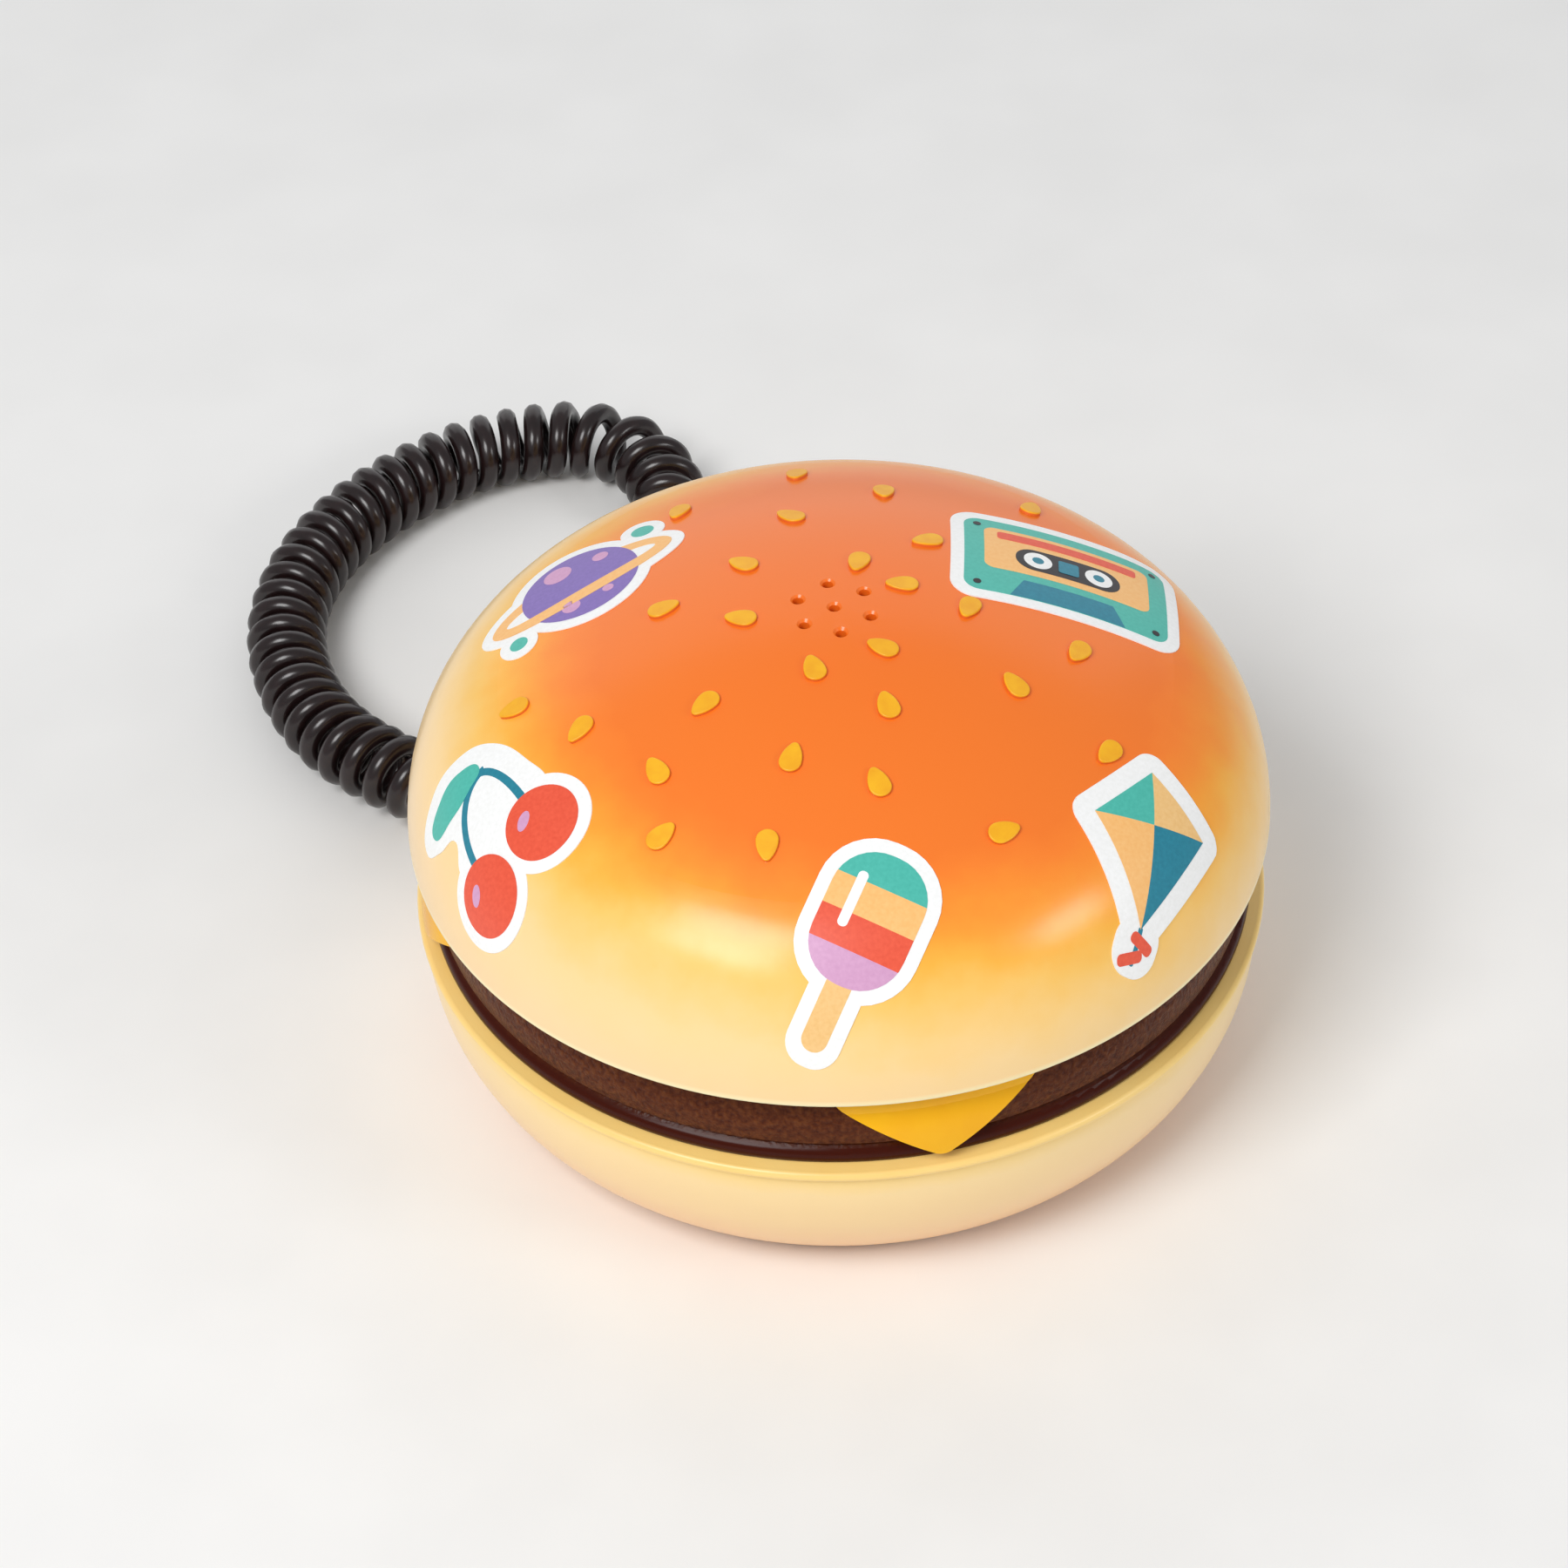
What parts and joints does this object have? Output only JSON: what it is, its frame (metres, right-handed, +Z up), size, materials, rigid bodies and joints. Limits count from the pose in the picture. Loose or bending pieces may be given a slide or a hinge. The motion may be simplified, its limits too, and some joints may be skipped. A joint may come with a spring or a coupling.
{
  "type": "novelty shaped telephone",
  "caption": "Corded table telephone shaped like a cheeseburger: the top bun hinges up as the lid over the keypad deck, with a curly line cord at the back.",
  "frame": {"origin": "middle of the base pad's underside, on the table", "axes": "+Z up, front of the phone towards -Y, hinge and line cord at the back towards +Y, +X to the right seen from the front"},
  "size_m": [0.1644, 0.2075, 0.0803],
  "materials": {
    "toasted_bun": "glossy moulded ABS, orange at the crown fading to cream at the rim",
    "pale_bun": "glossy moulded ABS",
    "sesame": "painted moulded relief",
    "patty": "matte moulded ABS with a fine grain",
    "cheese": "satin moulded plastic",
    "key_plastic": "satin moulded caps",
    "pad_rubber": "black foam rubber",
    "mat_silicone": "silicone keypad mat",
    "board": "glass-epoxy board with solder mask",
    "steel": "zinc-plated steel",
    "ballast_steel": "plain steel plate",
    "speaker_metal": "black-lacquered metal basket",
    "black_plastic": "black moulded plastic",
    "foam": "die-cut foam ring",
    "cord_vinyl": "glossy brown-black vinyl",
    "wire_vinyl": "vinyl hook-up wire",
    "plug_clear": "clear polycarbonate",
    "contact_brass": "gold-plated contact blades"
  },
  "bodies": {
    "base": {"lower_bun": "pale_bun", "base_pad": "pad_rubber", "base_screws": "steel", "base_hinge_bracket": "pale_bun", "bracket_screws": "steel", "hinge_pin": "steel", "patty_deck": "patty", "cheese_slice": "cheese", "key_mat": "mat_silicone", "main_pcb": "board", "pcb_screws": "steel", "microphone": "speaker_metal", "mic_boot": "pad_rubber", "hook_switch": "black_plastic", "ringer_switch": "black_plastic", "tone_switch": "black_plastic", "ballast_plate": "ballast_steel", "cord_gland": "cord_vinyl", "cord_lead": "cord_vinyl", "cord_curls": "cord_vinyl", "cord_tail": "cord_vinyl", "modular_plug": "plug_clear", "plug_contacts": "contact_brass", "line_wires": "wire_vinyl"},
    "lid": {"top_bun": "toasted_bun", "sesame_seeds": "sesame", "lid_cover": "patty", "lid_screws": "steel", "earpiece": "speaker_metal", "earpiece_gasket": "foam", "ringer_speaker": "speaker_metal", "ringer_retainer": "black_plastic", "retainer_screws": "steel", "lid_hinge_leaf": "pale_bun", "hinge_leaf_screws": "steel", "speaker_wires": "wire_vinyl"},
    "hook": {"hook_plunger": "cheese"},
    "ringer_slider": {"ringer_knob": "black_plastic"},
    "tone_slider": {"tone_knob": "black_plastic"},
    "key_1_cap": {"key_1": "key_plastic"},
    "key_2_cap": {"key_2": "key_plastic"},
    "key_3_cap": {"key_3": "key_plastic"},
    "key_4_cap": {"key_4": "key_plastic"},
    "key_5_cap": {"key_5": "key_plastic"},
    "key_6_cap": {"key_6": "key_plastic"},
    "key_7_cap": {"key_7": "key_plastic"},
    "key_8_cap": {"key_8": "key_plastic"},
    "key_9_cap": {"key_9": "key_plastic"},
    "key_star_cap": {"key_star": "key_plastic"},
    "key_0_cap": {"key_0": "key_plastic"},
    "key_hash_cap": {"key_hash": "key_plastic"},
    "key_redial_cap": {"key_redial": "key_plastic"},
    "key_flash_cap": {"key_flash": "key_plastic"}
  },
  "joints": [
    {"name": "lid_hinge", "type": "hinge", "parent": "base", "child": "lid", "pos_m": [0, 0.0675, 0.0355], "axis": [-1, 0, 0], "range_deg": [0, 115]},
    {"name": "hook_slide", "type": "slide", "parent": "base", "child": "hook", "axis": [0, 0, 1], "range_m": [0, 0.00305]},
    {"name": "ringer_switch_slide", "type": "slide", "parent": "base", "child": "ringer_slider", "axis": [-0.6428, 0.766, 0], "range_m": [-0.002, 0.002]},
    {"name": "tone_switch_slide", "type": "slide", "parent": "base", "child": "tone_slider", "axis": [-0.848, 0.5299, 0], "range_m": [-0.002, 0.002]},
    {"name": "key_1_press", "type": "slide", "parent": "base", "child": "key_1_cap", "axis": [0, 0, -1], "range_m": [0, 0.0012], "stiffness_N_per_m": 250},
    {"name": "key_2_press", "type": "slide", "parent": "base", "child": "key_2_cap", "axis": [0, 0, -1], "range_m": [0, 0.0012], "stiffness_N_per_m": 250},
    {"name": "key_3_press", "type": "slide", "parent": "base", "child": "key_3_cap", "axis": [0, 0, -1], "range_m": [0, 0.0012], "stiffness_N_per_m": 250},
    {"name": "key_4_press", "type": "slide", "parent": "base", "child": "key_4_cap", "axis": [0, 0, -1], "range_m": [0, 0.0012], "stiffness_N_per_m": 250},
    {"name": "key_5_press", "type": "slide", "parent": "base", "child": "key_5_cap", "axis": [0, 0, -1], "range_m": [0, 0.0012], "stiffness_N_per_m": 250},
    {"name": "key_6_press", "type": "slide", "parent": "base", "child": "key_6_cap", "axis": [0, 0, -1], "range_m": [0, 0.0012], "stiffness_N_per_m": 250},
    {"name": "key_7_press", "type": "slide", "parent": "base", "child": "key_7_cap", "axis": [0, 0, -1], "range_m": [0, 0.0012], "stiffness_N_per_m": 250},
    {"name": "key_8_press", "type": "slide", "parent": "base", "child": "key_8_cap", "axis": [0, 0, -1], "range_m": [0, 0.0012], "stiffness_N_per_m": 250},
    {"name": "key_9_press", "type": "slide", "parent": "base", "child": "key_9_cap", "axis": [0, 0, -1], "range_m": [0, 0.0012], "stiffness_N_per_m": 250},
    {"name": "key_star_press", "type": "slide", "parent": "base", "child": "key_star_cap", "axis": [0, 0, -1], "range_m": [0, 0.0012], "stiffness_N_per_m": 250},
    {"name": "key_0_press", "type": "slide", "parent": "base", "child": "key_0_cap", "axis": [0, 0, -1], "range_m": [0, 0.0012], "stiffness_N_per_m": 250},
    {"name": "key_hash_press", "type": "slide", "parent": "base", "child": "key_hash_cap", "axis": [0, 0, -1], "range_m": [0, 0.0012], "stiffness_N_per_m": 250},
    {"name": "key_redial_press", "type": "slide", "parent": "base", "child": "key_redial_cap", "axis": [0, 0, -1], "range_m": [0, 0.0012], "stiffness_N_per_m": 250},
    {"name": "key_flash_press", "type": "slide", "parent": "base", "child": "key_flash_cap", "axis": [0, 0, -1], "range_m": [0, 0.0012], "stiffness_N_per_m": 250}
  ],
  "couplings": [
    {"joint": "hook_slide", "follows": "lid_hinge", "m_per_rad": 0.0014947}
  ]
}
